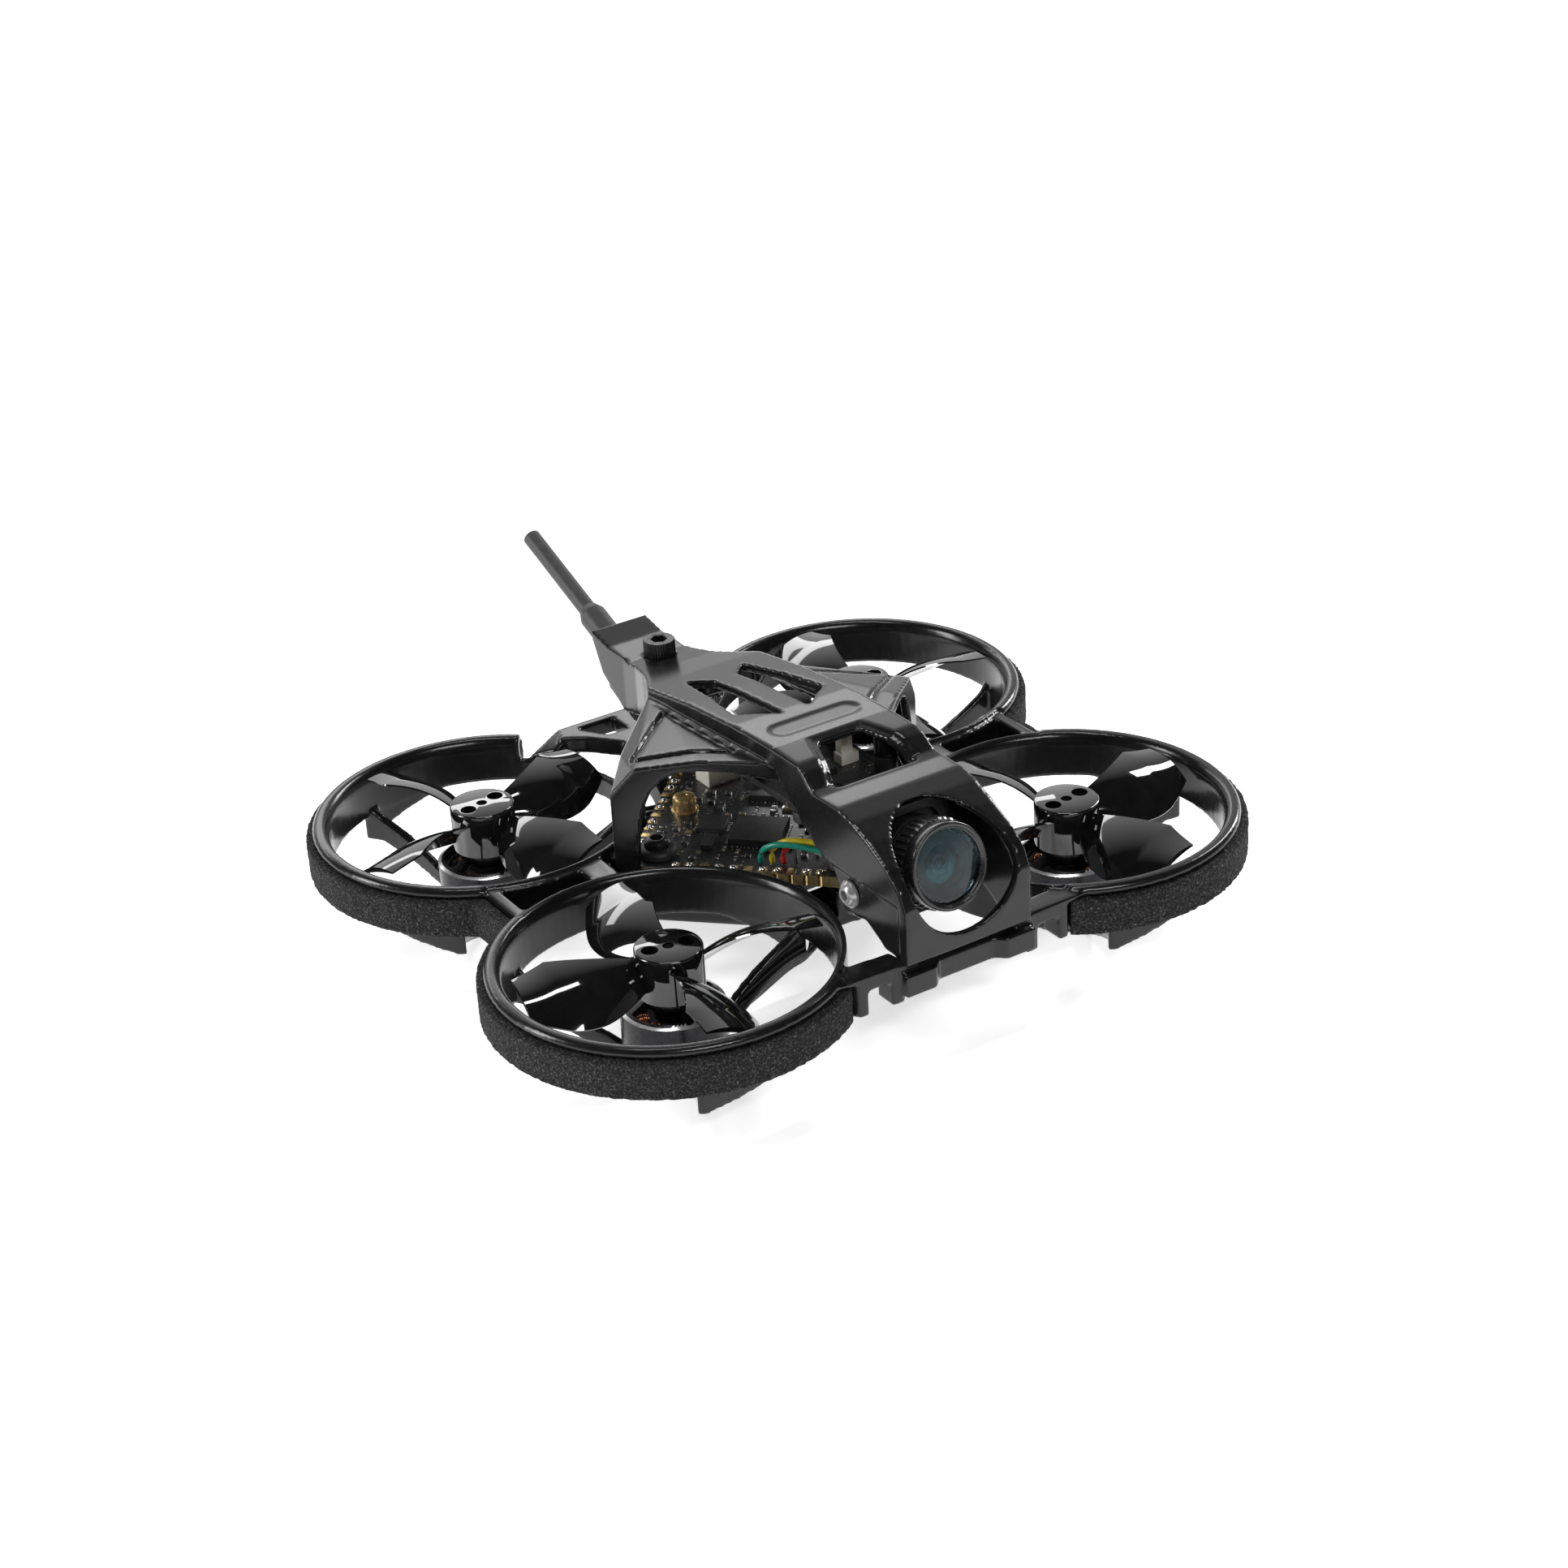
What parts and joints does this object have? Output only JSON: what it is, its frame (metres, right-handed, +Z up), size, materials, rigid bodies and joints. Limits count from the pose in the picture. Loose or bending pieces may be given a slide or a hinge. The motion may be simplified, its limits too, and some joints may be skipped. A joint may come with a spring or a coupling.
{
  "type": "mini ducted quadcopter drone",
  "caption": "Palm-size camera drone with ducted propellers in a moulded frame, foam bumpers, an arched canopy, a tilting camera and a short rear antenna.",
  "frame": {"origin": "centre of the motor layout on the underside of the belly plate", "axes": "+Z up, -Y towards the camera at the front, +X towards the drone's left"},
  "size_m": [0.1104, 0.1119, 0.0358],
  "materials": {
    "moulded_black": "glossy injection-moulded black plastic",
    "propeller_gloss": "high gloss black polycarbonate",
    "bumper_foam": "fine closed-cell foam with pale flecks",
    "pad_foam": "soft black foam",
    "black_aluminium": "black anodised",
    "bell_anodised": "black anodised with a bare machined ring",
    "black_steel": "black oxide",
    "screw_steel": "bright steel",
    "magnet_nickel": "nickel plated",
    "lamination": "lacquered laminations",
    "copper_wire": "enamelled copper wire",
    "circuit_board": "black solder mask with gold pads and a brown edge",
    "chip_black": "moulded epoxy",
    "gold_can": "gold plated can",
    "socket_ivory": "ivory nylon",
    "plated_steel": "tin plated shell",
    "soft_rubber": "soft matte rubber",
    "sleeve_black": "shrink sleeve",
    "lead_colours": "coloured silicone insulation",
    "lead_black": "black silicone insulation",
    "heat_shrink": "satin heat-shrink tube",
    "camera_plastic": "satin black plastic",
    "bezel_black": "semi-gloss black",
    "sensor_glass": "sensor package",
    "lens_glass": "coated lens glass"
  },
  "bodies": {
    "airframe": {"frame": "moulded_black", "foam_left": "bumper_foam", "foam_right": "bumper_foam", "canopy": "moulded_black", "tail_pad": "pad_foam", "tail_standoff": "black_aluminium", "tail_screws": "black_steel", "flight_board": "circuit_board", "board_chips": "chip_black", "crystal_can": "gold_can", "board_sockets": "socket_ivory", "usb_port": "plated_steel", "board_grommets": "soft_rubber", "board_screws": "black_steel", "video_board": "circuit_board", "video_parts": "chip_black", "video_dampers": "soft_rubber", "white_socket": "socket_ivory", "capacitor": "sleeve_black", "camera_leads": "lead_colours", "motor_leads": "lead_black", "antenna_tube": "heat_shrink", "antenna_collar": "heat_shrink", "antenna_lead": "lead_black", "motor_bases": "black_aluminium", "motor_bearings": "screw_steel", "stator_cores": "lamination", "stator_windings": "copper_wire", "motor_screws": "screw_steel", "camera_screws": "screw_steel"},
    "camera": {"camera_case": "camera_plastic", "camera_board": "circuit_board", "image_sensor": "sensor_glass", "lens_barrel": "camera_plastic", "focus_ring": "camera_plastic", "lens_bezel": "bezel_black", "front_glass": "lens_glass", "inner_lens": "lens_glass"},
    "rotor_front_right": {"propeller_front_right": "propeller_gloss", "bell_front_right": "bell_anodised", "magnets_front_right": "magnet_nickel", "shaft_front_right": "screw_steel", "prop_screws_front_right": "black_steel"},
    "rotor_front_left": {"propeller_front_left": "propeller_gloss", "bell_front_left": "bell_anodised", "magnets_front_left": "magnet_nickel", "shaft_front_left": "screw_steel", "prop_screws_front_left": "black_steel"},
    "rotor_rear_right": {"propeller_rear_right": "propeller_gloss", "bell_rear_right": "bell_anodised", "magnets_rear_right": "magnet_nickel", "shaft_rear_right": "screw_steel", "prop_screws_rear_right": "black_steel"},
    "rotor_rear_left": {"propeller_rear_left": "propeller_gloss", "bell_rear_left": "bell_anodised", "magnets_rear_left": "magnet_nickel", "shaft_rear_left": "screw_steel", "prop_screws_rear_left": "black_steel"}
  },
  "joints": [
    {"name": "rotor_front_right_spin", "type": "hinge", "parent": "airframe", "child": "rotor_front_right", "pos_m": [-0.0311, -0.02435, 0.003], "axis": [0, 0, 1], "continuous": true},
    {"name": "rotor_front_left_spin", "type": "hinge", "parent": "airframe", "child": "rotor_front_left", "pos_m": [0.0311, -0.02435, 0.003], "axis": [0, 0, 1], "continuous": true},
    {"name": "rotor_rear_right_spin", "type": "hinge", "parent": "airframe", "child": "rotor_rear_right", "pos_m": [-0.0311, 0.02435, 0.003], "axis": [0, 0, 1], "continuous": true},
    {"name": "rotor_rear_left_spin", "type": "hinge", "parent": "airframe", "child": "rotor_rear_left", "pos_m": [0.0311, 0.02435, 0.003], "axis": [0, 0, 1], "continuous": true},
    {"name": "camera_tilt", "type": "hinge", "parent": "airframe", "child": "camera", "pos_m": [0, -0.0328, 0.0129], "axis": [1, 0, 0], "range_deg": [-8, 10]}
  ]
}
